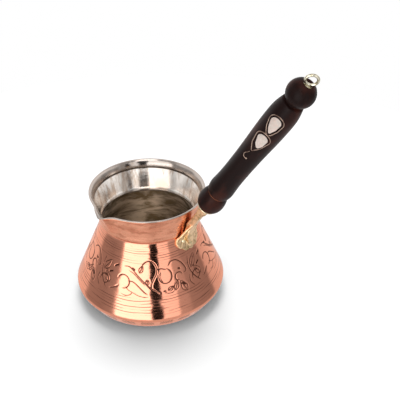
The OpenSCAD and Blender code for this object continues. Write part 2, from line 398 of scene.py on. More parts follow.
def tin_material():
    """Wiped tin: warm satin silver in the mouth, dull and mottled below the neck."""
    m, n = material("tin")
    place = n.add("ShaderNodeTexCoord").outputs["Object"]
    z = n.add("ShaderNodeSeparateXYZ", {0: place}).outputs[2]
    deep = n.remap(z, (NECK_Z + 0.4) * MM, (NECK_Z - 1.6) * MM)
    lip = n.remap(z, (POT_H - LIP_H - 0.5) * MM, (POT_H - LIP_H + 0.6) * MM)
    edge = n.remap(z, (POT_H - 1.3) * MM, (POT_H - 0.5) * MM)
    # Painted shade: thin dark lines at the fold below the lip and round the inner edge of the neck.
    crease_shade = n.math("ABSOLUTE", n.math("SUBTRACT", z, (POT_H - LIP_H - 0.1) * MM))
    crease_shade = n.math("MULTIPLY", n.remap(crease_shade, 0.6 * MM, 0.15 * MM), 0.8)
    throat_shade = n.math("ABSOLUTE", n.math("SUBTRACT", z, NECK_Z * MM))
    throat_shade = n.math("MULTIPLY", n.remap(throat_shade, 1.6 * MM, 0.4 * MM), 0.6)
    wipe = n.noise(n.scaled(place, (40, 40, 160)), 1.0, 5.0, 0.65, 1.2)
    streak = n.noise(n.scaled(place, (230, 230, 22)), 1.0, 3.0, 0.6)
    fine = n.noise(n.scaled(place, (120, 120, 1800)), 1.0, 3.0, 0.6)
    warm = n.noise(place, 34.0, 3.0)
    mottle = n.noise(n.scaled(place, (1, 1, 2.2)), 62.0, 6.0, 0.62, 0.5)
    bright = n.mix(wipe, rgb(0.80, 0.72, 0.65), rgb(0.95, 0.90, 0.85))
    bright = n.mix(n.remap(streak, 0.46, 0.66), bright, rgb(0.60, 0.48, 0.39))
    bright = n.mix(n.remap(warm, 0.50, 0.66), bright, rgb(0.80, 0.62, 0.50))
    bright = n.mix(n.math("MULTIPLY", lip, 0.75), bright, rgb(0.34, 0.29, 0.26))
    bright = n.mix(edge, bright, rgb(0.58, 0.50, 0.45))
    dull = n.mix(n.remap(mottle, 0.36, 0.64), rgb(0.27, 0.20, 0.12), rgb(0.93, 0.80, 0.68))
    tone = n.mix(deep, bright, dull)
    # the painted shade at the fold below the lip and at the neck
    tone = n.mix(n.math("MAXIMUM", crease_shade, throat_shade), tone, rgb(0.10, 0.075, 0.055))
    rough = n.remap(wipe, 0.3, 0.7, 0.15, 0.24)
    rough = n.math("ADD", rough, n.math("MULTIPLY", deep, 0.20))
    height = n.math("ADD", fine, n.math("MULTIPLY", n.math("MULTIPLY", mottle, deep), 0.8))
    # A tilt of the shading alone, not of the mesh: the flare mirrors the studio in front of it once,
    # where the modelled slope would mirror the opposite wall.
    flare = n.math("MULTIPLY", n.math("SUBTRACT", 1.0, deep), n.math("SUBTRACT", 1.0, lip))
    opened = n.add("ShaderNodeCombineXYZ", {2: n.math("MULTIPLY", flare, FLARE_TILT)}).outputs[0]
    facing = n.add("ShaderNodeNewGeometry").outputs["Normal"]
    facing = n.add("ShaderNodeVectorMath", {0: facing, 1: opened}, operation="ADD").outputs[0]
    facing = n.add("ShaderNodeVectorMath", {0: facing}, operation="NORMALIZE").outputs[0]
    surface(n, Base_Color=tone, Metallic=1.0, Roughness=rough, Anisotropic=0.8, Anisotropic_Rotation=TURNED,
            Tangent=around(n), Normal=n.bump(height, 0.16, 0.0001, facing))
    return m


def brass_material(name, light, dark, rough_low, rough_high, grain):
    """Cast or turned brass: colour drifts with a patina, and the skin is grainy."""
    m, n = material(name)
    place = n.add("ShaderNodeTexCoord").outputs["Object"]
    patina = n.noise(place, 260.0, 5.0, 0.6, 0.5)
    pits = n.noise(place, 1500.0, 4.0, 0.6)
    hollow = n.add("ShaderNodeAttribute", attribute_name="hollow").outputs["Fac"]
    stain = n.math("MAXIMUM", n.remap(patina, 0.44, 0.66), n.math("MULTIPLY", hollow, 0.8))
    surface(n, Base_Color=n.mix(stain, light, dark), Metallic=1.0,
            Roughness=n.remap(pits, 0.3, 0.7, rough_low, rough_high),
            Normal=n.bump(n.math("ADD", pits, patina), grain, 0.00025))
    return m


def wood_material():
    """Dark turned wood: grain runs along the handle, under a satin varnish, with a painted orange-brown
    highlight in the cut between bead and grip.
    """
    m, n = material("dark_wood")
    place = n.add("ShaderNodeTexCoord").outputs["Object"]
    from_bead = {0: place, 1: list(BEAD_C * MM)}
    centred = n.add("ShaderNodeVectorMath", from_bead, operation="SUBTRACT").outputs[0]
    along = n.add("ShaderNodeVectorRotate", {"Vector": centred, "Angle": -HANDLE_LEAN},
                  rotation_type="Y_AXIS").outputs[0]
    s = n.add("ShaderNodeSeparateXYZ", {0: along}).outputs[2]
    grain = n.noise(n.scaled(along, (900, 900, 35)), 1.0, 5.0, 0.6, 0.4)
    pores = n.remap(n.noise(n.scaled(along, (2600, 2600, 110)), 1.0, 2.0, 0.5), 0.60, 0.70)
    drift = n.noise(n.scaled(along, (90, 90, 30)), 1.0, 3.0)
    # Painted highlight: a thin, broken orange-brown line round the cut between the bead and the grip.
    groove_highlight = n.math("ABSOLUTE", n.math("SUBTRACT", s, (GROOVE_S + 0.1) * MM))
    groove_highlight = n.math("MULTIPLY", n.remap(groove_highlight, 0.5 * MM, 0.2 * MM), n.remap(drift, 0.36, 0.55))
    tone = n.mix(grain, rgb(0.005, 0.0022, 0.0021), rgb(0.015, 0.0055, 0.0045))
    tone = n.mix(n.remap(drift, 0.46, 0.66), tone, rgb(0.036, 0.0095, 0.006))
    tone = n.mix(n.math("MULTIPLY", pores, 0.7), tone, rgb(0.003, 0.002, 0.002))
    # the painted highlight between the bead and the grip
    tone = n.mix(n.math("MULTIPLY", groove_highlight, 0.8), tone, rgb(0.42, 0.15, 0.075))
    height = n.math("SUBTRACT", n.math("MULTIPLY", grain, 0.4), pores)
    surface(n, Base_Color=tone, Roughness=n.remap(grain, 0.3, 0.7, 0.32, 0.44),
            Specular_IOR_Level=0.09, Normal=n.bump(height, 0.22, 0.00012))
    return m


def pearl_material():
    """Mother of pearl: milky, with faint cloudy bands of pink and green."""
    m, n = material("pearl")
    place = n.add("ShaderNodeTexCoord").outputs["Object"]
    cloud = n.noise(place, 330.0, 4.0, 0.6, 1.5)
    band = n.noise(n.scaled(place, (700, 200, 260)), 1.0, 3.0, 0.6, 2.0)
    tone = n.mix(n.remap(cloud, 0.35, 0.65), rgb(0.70, 0.54, 0.47), rgb(0.58, 0.52, 0.46))
    tone = n.mix(n.remap(band, 0.5, 0.65, 0.0, 0.6), tone, rgb(0.76, 0.66, 0.61))
    surface(n, Base_Color=tone, Roughness=n.remap(cloud, 0.3, 0.7, 0.22, 0.34), Coat_Weight=0.4,
            Coat_Roughness=0.12, Normal=n.bump(band, 0.15, 0.0001))
    return m


def floor_material():
    m, n = material("floor")
    place = n.add("ShaderNodeTexCoord").outputs["Object"]
    tone = n.mix(n.noise(place, 8.0, 2.0), grey(0.93), grey(0.96))
    surface(n, Base_Color=tone, Roughness=0.9, Specular_IOR_Level=0.1)
    return m


COPPER = copper_material()
TIN = tin_material()
CAST_BRASS = brass_material("cast_brass", rgb(0.90, 0.63, 0.38), rgb(0.42, 0.29, 0.13), 0.30, 0.44, 0.4)
RIVET_BRASS = brass_material("rivet_brass", rgb(0.86, 0.72, 0.46), rgb(0.55, 0.42, 0.22), 0.24, 0.36, 0.35)
FERRULE_BRASS = brass_material("ferrule_brass", rgb(0.86, 0.76, 0.55), rgb(0.60, 0.46, 0.28), 0.22, 0.34, 0.2)
EYE_BRASS = brass_material("eye_brass", rgb(0.82, 0.77, 0.62), rgb(0.42, 0.36, 0.24), 0.16, 0.26, 0.15)
WIRE_BRASS = brass_material("inlay_wire", rgb(0.46, 0.33, 0.26), rgb(0.20, 0.13, 0.10), 0.34, 0.46, 0.2)
WOOD = wood_material()
PEARL = pearl_material()


# ---------------------------------------------------------------- the pot's shape

def cone_r(z):
    return (BELLY_R - BELLY_ROUND) + (BELLY_ROUND - (z - BELLY_Z) * math.sin(WALL_LEAN)) / math.cos(WALL_LEAN)


BELLY_C = (BELLY_R - BELLY_ROUND, BELLY_Z)
FOOT_RISE = (FOOT_ROUND - BELLY_Z) * math.sin(FOOT_LEAN)
FOOT_X = BELLY_C[0] + (BELLY_ROUND - FOOT_ROUND + FOOT_RISE) / math.cos(FOOT_LEAN)
CONE_TOP = np.array([cone_r(NECK_Z - 8.8), NECK_Z - 8.8])
CONE_KNEE = np.array([cone_r(NECK_Z - 3.8), NECK_Z - 3.8])
NECK = np.array([NECK_R, NECK_Z])
SHOULDER = NECK + [0.8, 1.0]
LIP = np.array([RIM_R - 1.8, POT_H - LIP_H])
RIM = np.array([RIM_R, POT_H])

foot_arc = arc((FOOT_X, FOOT_ROUND), FOOT_ROUND, -math.pi / 2, -FOOT_LEAN, 6)
belly_arc = arc(BELLY_C, BELLY_ROUND, -FOOT_LEAN, WALL_LEAN, 10)
neck_bend = bend(CONE_TOP, CONE_KNEE, NECK, 8)
flare = bend(SHOULDER, SHOULDER + [0.8, 7.0], LIP, 12)
lip_bend = bend(LIP, LIP + [0.4, 2.9], RIM, 6)
OUTLINE = np.vstack([[[0, 0]], foot_arc, belly_arc, [CONE_TOP], neck_bend, [SHOULDER], flare, lip_bend])
OUTLINE = OUTLINE[np.r_[True, np.linalg.norm(np.diff(OUTLINE, axis=0), axis=1) > 1e-6]]


SPOUT_FOOT_Z, SPOUT_CURL_H = NECK_Z + 1.8, 4.6


def spout(r, z, angles, t):
    """Radii and heights round one ring: the circle, with the V of the spout drawn out of its upper part.

    The ring belongs to a skin that lies t inside the pot's outer face.
    """
    turn = (angles - SPOUT_AZ + math.pi) % (2 * math.pi) - math.pi
    rise = np.clip((z - SPOUT_FOOT_Z) / (POT_H - SPOUT_FOOT_Z), 0, 1.02)
    reach = (SHOULDER[0] - 0.25) * (1 - rise) + SPOUT_REACH * rise - 1.25 * t
    radii, heights = np.full(len(angles), float(r)), np.full(len(angles), float(z))
    if z > SPOUT_FOOT_Z and reach > r > 0:
        half = math.acos(r / reach)
        soft = np.sqrt(turn ** 2 + math.radians(1.6) ** 2)
        radii = r / np.cos(np.clip(half - soft, 0, None))
        curl = max(0.0, (z - POT_H + SPOUT_CURL_H) / SPOUT_CURL_H) ** 1.6
        near, ear, brow = (np.exp(-((turn - math.radians(middle)) / math.radians(spread)) ** 2)
                           for middle, spread in ((0, 6), (-8.5, 5), (13, 5)))
        radii = radii + curl * (1.5 * near + 0.9 * ear)
        heights = heights - curl * (1.3 * near - 0.35 * brow)
    return radii, heights


# ---------------------------------------------------------------- engraving

# The pattern is drawn flat, in millimetres round the wall at its middle (u) and up it (v), and it repeats.
REPEATS = 4
DRAWN_R = 40.0 * SCALE
PERIOD = 2 * math.pi * DRAWN_R / REPEATS
PATTERN_AZ = math.radians(-50)
ENGRAVE_LO, ENGRAVE_HI = 14.2 * SCALE, NECK_Z - 1.0
CUT_DEPTH, GOUGE_DEPTH, CUT_SLOPE = 0.20, 0.16, 0.5
# Short slanting gouges run round the foot in groups, between two heights
GOUGE_GROUPS, GOUGE_PITCH, GOUGE_LO, GOUGE_HI = 24, 1.9, 3.2, 9.6
FAR = 9.0                              # a distance beyond the reach of any cut


def scroll(u, v, r, start, turn, shrink):
    """A spiral curl about (u, v), from radius r at angle start, in degrees, which tightens as it turns."""
    t = np.linspace(0, 1, 36)
    a = np.radians(start + turn * t)
    radius = r * (1 - shrink * t)
    return np.c_[u + radius * np.cos(a), v + radius * np.sin(a)]


def leaf_lines(u, v, length, lean, fat):
    """A pointed leaf at (u, v) that leans lean degrees from the vertical: two sides and a rib."""
    a = math.radians(90 - lean)
    along, across = np.array([math.cos(a), math.sin(a)]), np.array([-math.sin(a), math.cos(a)])
    start = np.array([u, v])
    lines = []
    for side in (-1, 1):
        lines.append(np.array([start, start + along * length * 0.35 + across * side * fat * length,
                               start + along * length * 0.75 + across * side * fat * 0.6 * length,
                               start + along * length]))
    lines.append(np.array([start + along * length * 0.12, start + along * length * 0.8]))
    return lines


def pattern_strokes():
    """Every cut of one repeat: (points, half width)."""
    thin, medium, thick = 0.25, 0.33, 0.6
    strokes = [
        ([(-17.5, 43.2), (-14, 43.6), (-11, 42), (-7, 38.4), (-2.8, 34.6), (0.5, 31.7), (3.2, 29.8),
          (6.6, 27.7)], medium),
        ([(-13.6, 41.4), (-10, 39.6), (-6, 36.2), (-2.4, 33.0)], thin),
        ([(-14, 34.6), (-10.8, 34.8), (-8.2, 33.4), (-5.4, 31.0), (-2.8, 28.6), (-1, 27.4)], medium),
        ([(-15.4, 31.4), (-12.6, 29.2), (-9.6, 28.0), (-6.6, 26.6), (-3.6, 25.9), (-0.4, 25.6)], thin),
        ([(-17, 26.4), (-14.6, 25.8), (-12, 26.4), (-10.2, 28.2)], thin),
        ([(5.4, 42.4), (5.0, 39.6), (3.0, 36.4), (1.5, 33.4), (1.4, 30.6)], medium),
        ([(5.0, 42.2), (8.2, 42.4), (11.6, 41.4)], medium),
        ([(-19.8, 30.6), (-22.4, 28.8), (-25.4, 27.4)], medium),
        ([(13.6, 43.4), (15.8, 45.4), (19.4, 45.7), (22.8, 43.6), (25.0, 40.4), (25.8, 37.4),
          (23.8, 36.4)], medium),
        ([(9, 27.6), (12.4, 26.7), (15, 27.4)], thin),
        ([(29.6, 44.6), (28.4, 40), (29.0, 35), (31.6, 30), (34.6, 26.4)], medium),
        ([(27.6, 33.6), (26.8, 29.4), (29.2, 25.6)], thin),
        ([(20.2, 30.6), (21.6, 30.2), (23, 29.2)], thick),
        ([(20.0, 40.2), (21.8, 39.6)], thick),
        ([(-24.6, 41.4), (-23.2, 42.4), (-21.4, 43.2)], thick),
        ([(-28.0, 36.8), (-26.6, 37.6), (-25.0, 38.2)], thick),
        ([(-12.2, 42.8), (-10.6, 42.6), (-9.4, 41.8)], thick),
        ([(8.4, 28.6), (9.6, 28.2)], thick),
    ]
    curls = ((0.2, 42.2, 5.4, 0, 185, 0.04), (10.4, 37.4, 4.9, 75, -290, 0.22),
             (-16.8, 33.9, 4.3, 150, -250, 0.06), (-30.2, 31.2, 3.6, 200, -300, 0.40),
             (19.4, 35.0, 3.2, 20, 260, 0.45))
    strokes += [(scroll(*curl), medium) for curl in curls]
    leaves = ((-33, 37, 9.5, 38, 0.22), (-26.5, 30.2, 8.0, -30, 0.24), (23.5, 24.8, 8.5, -24, 0.22),
              (11.2, 28.4, 4.4, 60, 0.26), (-6.2, 40.2, 5.2, 24, 0.26), (-1.6, 33.2, 3.4, 20, 0.34),
              (15.6, 27.6, 6.0, 28, 0.24))
    for leaf in leaves:
        strokes += [(line, thin) for line in leaf_lines(*leaf)]
    return strokes


def engraving_field():
    """A tree of points along every cut, and each point's half width, which tapers to the cut's ends."""
    at, width = [], []
    for points, half in pattern_strokes():
        line = spline(np.asarray(points, float) * [1, SCALE], 0.16)
        t = np.linspace(0, 1, len(line))
        taper = np.clip(np.minimum(t, 1 - t) * 7, 0, 1) ** 0.6
        for shift in (-PERIOD, 0, PERIOD):
            at.append(line + [shift, 0])
            width.append(half * (0.35 + 0.65 * taper))
    at, width = np.vstack(at), np.concatenate(width)
    tree = KDTree(len(at))
    for i, (u, v) in enumerate(at):
        tree.insert((u, v / math.cos(WALL_LEAN), 0), i)
    tree.balance()
    return tree, width


def cut_distance(tree, width, z, r, angles):
    """How far each point of a ring is outside the nearest cut, in millimetres, and below zero inside one."""
    stretch = DRAWN_R / r
    u = ((angles - PATTERN_AZ + math.pi) % (2 * math.pi) - math.pi) * DRAWN_R
    u = (u + PERIOD / 2) % PERIOD - PERIOD / 2
    out = np.empty(len(u))
    for i, x in enumerate(u):
        point, index, distance = tree.find((x, z / math.cos(WALL_LEAN), 0))
        across = (point[0] - x) / stretch
        up = point[1] - z / math.cos(WALL_LEAN)
        out[i] = math.hypot(across, up) - width[index]
    return out


def build_copper():
    """The copper body: engraved wall, brushed mouth, gouged foot, and its inner face under the tin."""
    tree, width = engraving_field()
    foot = resample(np.vstack([foot_arc, belly_arc[:1]]), 0.9)
    belly = resample(belly_arc, 0.7)
    wall_top = np.array([[cone_r(z), z] for z in np.linspace(belly_arc[-1][1], CONE_TOP[1], 40)])
    wall = resample(np.vstack([wall_top, neck_bend]), 0.58)
    upper = soften(resample(np.vstack([[NECK], [SHOULDER], flare, lip_bend]), 0.5), 2)
    upper = upper[upper[:, 1] < POT_H - 0.45]
    base = [[0, 0], [FOOT_X * 0.4, 0], [FOOT_X * 0.8, 0]]
    outer = np.vstack([base, foot, belly[1:], wall[1:], upper[1:]])
    inner = inset(OUTLINE, COPPER_T - 0.02)
    inner = inner[inner[:, 1] < POT_H - 0.5][::-1]
    path = np.vstack([outer, inner])
    n_outer = len(outer)
    counts = []
    for i, (r, z) in enumerate(path):
        if r < 1e-6:
            counts.append(1)
        elif i >= n_outer:
            counts.append(180 if i > n_outer + 1 else 360)
        elif z > NECK_Z + 0.8 or i < 3:
            counts.append(360)
        else:
            counts.append(720)
    edge = []
    rng = np.random.default_rng(7)
    gouge_phase = rng.uniform(0, 1, 48)     # more than the groups use

    def place(r, z, angles, index):
        radii, heights = spout(r, z, angles, 0.0 if index < n_outer else COPPER_T)
        distance = np.full(len(angles), FAR)
        push = np.zeros(len(angles))
        lean = 0.0
        if index < n_outer and ENGRAVE_LO < z < ENGRAVE_HI:
            lean = WALL_LEAN
            distance = cut_distance(tree, width, z, r, angles)
            push -= CUT_DEPTH * np.clip(0.5 - distance / CUT_SLOPE, 0, 1)
        if index < n_outer and GOUGE_LO < z < GOUGE_HI:
            lean = -FOOT_LEAN
            slot = angles / (2 * math.pi) * GOUGE_GROUPS
            group = np.floor(slot).astype(int)
            inside = np.abs(slot - group - 0.5) < 0.36
            slant = (angles * r + (z - 6) * 0.9) / GOUGE_PITCH
            gouge = np.abs((slant + gouge_phase[group]) % 1 - 0.5) * GOUGE_PITCH - 0.34
            bar = np.where(inside, gouge, FAR) + 0.5 * np.clip(np.abs(z - 6.4) - 2.2, 0, None)
            distance = np.minimum(distance, bar)
            push -= GOUGE_DEPTH * np.clip(0.5 - bar / CUT_SLOPE, 0, 1)
        edge.append(distance)
        radii = radii + push * math.cos(lean)
        heights = heights + push * math.sin(lean)
        return np.c_[radii * np.cos(angles), radii * np.sin(angles), heights]

    points, faces = lathe(path, counts, place)
    piece = make_piece("copper_pot", points, faces, COPPER, "pot_body")
    values = np.concatenate([[FAR]] + edge + [[FAR]])
    attribute = piece.data.attributes.new("cut_edge", "FLOAT", "POINT")
    attribute.data.foreach_set("value", values[:len(points)].astype(np.float32))


def build_tin():
    """The tin: the visible inside, over the rim's edge, and its hidden outer face against the copper."""
    inner = inset(OUTLINE, LINING_T)
    inner[-1, 1] = POT_H - 0.25
    inner = inner[inner[:, 1] <= POT_H - 0.2]
    inner = soften(resample(inner[1:], 0.4), 6)
    share = np.clip((inner[:, 1] - (POT_H - LIP_H)) / LIP_H, 0, 1)
    inner[:, 0] -= 0.45 * np.sin(math.pi * np.sqrt(share)) * (share < 1)
    rim_in, rim_out = inner[-1][0], RIM_R + 0.04
    middle, half = (rim_in + rim_out) / 2, (rim_out - rim_in) / 2
    crown = np.array([[middle - half * math.cos(a), POT_H - 0.25 + 0.25 * math.sin(a)]
                      for a in np.linspace(0, math.pi, 9)])[1:]
    skirt = np.array([[RIM_R - 0.02, POT_H - 0.55], [RIM_R - 0.3, POT_H - 0.42]])
    back = inset(OUTLINE, COPPER_T)
    back = back[back[:, 1] < POT_H - 0.5][::-1]
    path = np.vstack([[[0, inner[0][1]]], inner, crown, skirt, back[:-1], [[0, COPPER_T]]])
    counts = [1 if r < 1e-6 else 360 for r, z in path]
    n_front = len(inner) + len(crown) + 1

    def place(r, z, angles, index):
        t = LINING_T if index <= len(inner) else (0.0 if index < n_front + 2 else COPPER_T)
        if len(inner) < index <= len(inner) + len(crown):
            t = LINING_T * (rim_out - r) / (rim_out - rim_in)
        radii, heights = spout(r, z, angles, t)
        return np.c_[radii * np.cos(angles), radii * np.sin(angles), heights]

    points, faces = lathe(path, counts, place)
    make_piece("tin_skin", points, [f[::-1] for f in faces], TIN, "tin_lining")


build_copper()
build_tin()


# ---------------------------------------------------------------- the handle

def wood_outline():
    """The bead, the grip and the knob, as (radius, distance along the handle)."""
    a = np.radians(np.linspace(-42, 0, 10))
    bead = np.c_[BEAD_R * np.cos(a), 9.25 * np.sin(a)]
    a = np.linspace(0, math.asin((GROOVE_S - 0.4) / 13), 14)[1:]
    bead = np.vstack([bead, np.c_[BEAD_R * np.cos(a), 13 * np.sin(a)]])
    grip = np.vstack([[[5.9, GROOVE_S], [6.7, GROOVE_S + 0.5]],
                      bend((6.7, GROOVE_S + 0.5), (7.75, 10.6), (7.7, 15), 12),
                      bend((7.7, 15), (7.05, 22), (7.05, 32), 14),
                      bend((7.05, 32), (7.05, 45), (7.7, 60), 20),
                      bend((7.7, 60), (8.4, 76), (8.15, 84), 20),
                      bend((8.15, 84), (8.05, 89.3), (6.3, KNOB_S - 7.4), 14), [[4.6, KNOB_S - 7]]])
    start, end = math.asin(-6.8 / KNOB_R), math.asin((WOOD_HI - KNOB_S) / KNOB_R)
    knob = arc((0, KNOB_S), KNOB_R, start, end, 28)
    return bead, grip, knob


def grip_r(s):
    grip = wood_outline()[1]
    return np.interp(s, grip[:, 1], grip[:, 0])


def build_wood():
    bead, grip, knob = wood_outline()
    skin = soften(resample(np.vstack([bead, grip, knob]), 0.35), 1)
    well = [[SHANK_R, skin[-1][1]], [SHANK_R, KNOB_S + 2]]
    path = np.vstack([[[0, WOOD_LO]], [[4.4, WOOD_LO]], skin, well, [[0, KNOB_S + 2]]])
    counts = [1 if r < 1e-6 else 96 for r, s in path]
    points, faces = lathe(path, counts, round_ring)
    make_piece("turned_handle", on_handle(points), faces, WOOD, "wood_handle")


build_wood()


def side_point(x, s, lift):
    """A point on the handle's -Y side: x across, s along, lift above the wood."""
    x = np.asarray(x, float)
    r = grip_r(s)
    deep = np.sqrt(r ** 2 - x ** 2)
    return np.c_[x * (1 + lift / r), -deep * (1 + lift / r), np.asarray(s, float)]


def drop(chain, more=0.0):
    """A drop's outline: a chain of three shrinking circles, grown by more, with straight sides."""
    (ax, ay, ar), (bx, by, br), (cx, cy, cr) = chain
    to_b, to_c = math.atan2(by - ay, bx - ax), math.atan2(cy - by, cx - bx)
    open_b = math.acos((ar - br) / math.hypot(bx - ax, by - ay))
    open_c = math.acos((br - cr) / math.hypot(cx - bx, cy - by))
    path = np.vstack([arc((ax, ay), ar + more, to_b + open_b, to_b - open_b + 2 * math.pi, 30),
                      arc((bx, by), br + more, to_b - open_b, to_c - open_c, 5),
                      arc((cx, cy), cr + more, to_c - open_c, to_c + open_c, 10),
                      arc((bx, by), br + more, to_c + open_c, to_b + open_b, 5)])
    return resample(np.vstack([path, path[:1]]), 0.3)[:-1]


PEARLS = {"upper": ((1.05, 84.2, 3.2), (1.45, 80.3, 2.4), (1.85, 76.4, 0.7)),
          "lower": ((1.15, 69.7, 3.2), (1.6, 65.6, 2.4), (1.9, 62.9, 0.9))}
LOWER_WIRE = ((1.05, 69.9, 4.3), (0.75, 64.3, 3.1), (0.6, 59.0, 0.4))
WIRE_OFF = 1.05
DOT_AT, DOT_R = (1.0, 51.4), 0.62
WIRE_GAP_S = 74.9                      # where the upper outline opens, above the lower one's round end


def build_pearl(which):
    outline = drop(PEARLS[which])
    middle = outline.mean(0)
    points, faces = [], []
    shares = (1.0, 1.0, 0.97, 0.9, 0.75, 0.5, 0.25)
    lifts = (-0.9, -0.7, -0.02, 0.10, 0.17, 0.20, 0.21)
    n = len(outline)
    for share, lift in zip(shares, lifts):
        p = middle + (outline - middle) * share
        points.append(side_point(p[:, 0], p[:, 1], lift))
    for i in range(len(shares) - 1):
        faces += stitch(i * n, n, (i + 1) * n, n)
    top, under = len(shares) * n, len(shares) * n + 1
    points.append(side_point([middle[0]], [middle[1]], lifts[-1]))
    points.append(side_point([middle[0]], [middle[1]], lifts[0]))
    last = (len(shares) - 1) * n
    faces += [(last + i, last + (i + 1) % n, top) for i in range(n)]
    faces += [((i + 1) % n, i, under) for i in range(n)]
    make_piece("pearl_inlay_" + which, on_handle(np.vstack(points)), faces, PEARL, "pearl_" + which)


def wire_on_side(name, line, node, closed=False, radius=0.27):
    path = side_point(line[:, 0], line[:, 1], 0.02)
    out = path * [1, 1, 0]
    out /= np.linalg.norm(out, axis=1)[:, None]
    points, faces = tube(path, radius, 10, closed, 0.8, out)
    make_piece(name, on_handle(points), faces, WIRE_BRASS, node)


def build_inlay():
    for which in PEARLS:
        build_pearl(which)
    wire_on_side("wire_outline_lower", drop(LOWER_WIRE), "wire_lower", True)
    upper = drop(PEARLS["upper"], WIRE_OFF)
    below = upper[:, 1] < WIRE_GAP_S - 0.12 * np.abs(upper[:, 0] - PEARLS["upper"][-1][0])
    start = int(np.argmax(below & ~np.roll(below, -1)))
    upper = np.roll(upper, -start - 1, 0)[~np.roll(below, -start - 1)]
    wire_on_side("wire_outline_upper", upper, "wire_upper")
    curl = spline([(0.1, 57.1), (-0.5, 55.6), (-1.25, 54.3), (-1.6, 53.0), (-1.35, 51.9), (-0.6, 51.1),
                   (0.4, 51.1)], 0.25)
    wire_on_side("wire_curl_line", curl, "wire_curl", radius=0.23)
    t = np.linspace(0, math.pi, 9)
    head = side_point(np.full(len(t), DOT_AT[0]), DOT_AT[1] - DOT_R * np.cos(t), 0.0)
    points, faces = tube(head, DOT_R * np.sin(t) + 0.02, 16)
    make_piece("wire_dot_head", on_handle(points), faces, WIRE_BRASS, "wire_dot")


build_inlay()


def build_ferrule():
    under, edge_r = WOOD_LO - FERRULE_T, FERRULE_T / 2
    rim = arc((FERRULE_R - edge_r, WOOD_LO - edge_r), edge_r, -math.pi / 2, math.pi / 2, 10)
    path = np.vstack([[[0, under], [4.5, under]], rim, [[4.5, WOOD_LO], [0, WOOD_LO]]])
    counts = [1 if r < 1e-6 else 96 for r, s in path]
    points, faces = lathe(path, counts, round_ring)
    make_piece("ferrule_disc", on_handle(points), faces, FERRULE_BRASS, "handle_ferrule")


def build_eye():
    a = np.arange(72) * 2 * math.pi / 72
    turn = Matrix.Rotation(EYE_TURN, 4, "Z")
    ring = np.c_[np.zeros(len(a)), RING_R * np.cos(a), RING_R * np.sin(a)] @ np.array(turn)[:3, :3].T
    flat = np.tile(np.array(turn)[:3, 0], (len(a), 1))
    points, faces = tube(ring + [0, 0, RING_S], WIRE_R, 20, True, 1.0, flat)
    lo, hi = KNOB_S - 2, RING_S - RING_R - 0.6
    shoulder = arc((SHANK_R - 0.55, hi - 0.5), 0.5, 0, math.pi / 2, 6)
    collar = np.vstack([[[0, lo], [SHANK_R - 0.05, lo], [SHANK_R - 0.05, hi - 0.5]], shoulder,
                        [[1.5, hi + 0.25], [0, hi + 0.3]]])
    counts = [1 if r < 1e-6 else 48 for r, s in collar]
    more, more_faces = lathe(collar, counts, round_ring)
    shift = len(points)
    faces = faces + [tuple(v + shift for v in f) for f in more_faces]
    make_piece("eye_ring", on_handle(np.vstack([points, more])), faces, EYE_BRASS, "hanging_eye")


build_ferrule()
build_eye()

recolour("tie_rod", EYE_BRASS)


# ---------------------------------------------------------------- the bracket

# The plate's two edges: (height, side)
LEAF_LEFT = np.array([(49.6, -1.5), (50.9, -5.0), (52.4, -8.0), (55.0, -10.1), (57.0, -9.7), (63.0, -6.6),
                      (69.0, -3.5)])
LEAF_RIGHT = np.array([(49.6, 1.5), (50.9, 5.2), (52.4, 8.6), (55.0, 10.2), (59.0, 10.0), (63.5, 7.6),
                       (69.0, 3.5)])
LEAF_LO, LEAF_HI = LEAF_LEFT[0, 0], LEAF_LEFT[-1, 0]
LEAF_T, LEAF_OFF_WALL = 1.6, 1.5
LEAF_PARTS_Z, LEAF_PARTS_H = 67, 10    # the plate leaves the arm here, and meets the wall so much lower
SKIN_VOXEL = 0.28
VEIN_ROOT, VEIN_W, VEIN_DEPTH = np.array([0.0, 63.0]), 0.55, 0.32
VEIN_TIPS = ((-9.6, 55.6), (10.0, 57.6), (-4.6, 49.6), (4.6, 49.6), (-8.2, 52.4), (8.6, 52.6))


def leaf_web(arm_x):
    """The leaf's plate, flaring straight out of the arm's foot and lying down on the wall.

    The CAD bracket has no such plate: there, its narrow arm runs down on to the leaf.
    """
    rows, columns = 30, 20
    points = []
    side = OUTLINE[OUTLINE[:, 1] > BELLY_Z + 5]
    for z in np.linspace(LEAF_LO, LEAF_HI, rows):
        left, right = (np.interp(z, edge[:, 0], edge[:, 1]) for edge in (LEAF_LEFT, LEAF_RIGHT))
        y = np.linspace(left, right, columns)
        wall = np.sqrt(np.interp(z, side[:, 1], side[:, 0]) ** 2 - y ** 2)
        down = np.clip((LEAF_PARTS_Z - z) / LEAF_PARTS_H, 0, 1)
        x = (arm_x(z) - 0.2) * (1 - down) + (wall + LEAF_OFF_WALL) * down
        points.append(np.c_[x, y, np.full(columns, z)])
    front = np.vstack(points)
    back = front - [LEAF_T, 0, 0]
    count, faces = len(front), []
    for i in range(rows - 1):
        for j in range(columns - 1):
            a = i * columns + j
            faces += [(a, a + 1, a + columns + 1, a + columns),
                      (count + a, count + a + columns, count + a + columns + 1, count + a + 1)]
    grid = np.arange(count).reshape(rows, columns)
    rim = np.concatenate([grid[0], grid[1:, -1], grid[-1, -2::-1], grid[-2:0:-1, 0]]).tolist()
    for a, b in zip(rim, rim[1:] + rim[:1]):
        faces.append((b, a, count + a, count + b))
    return np.vstack([front, back]), faces


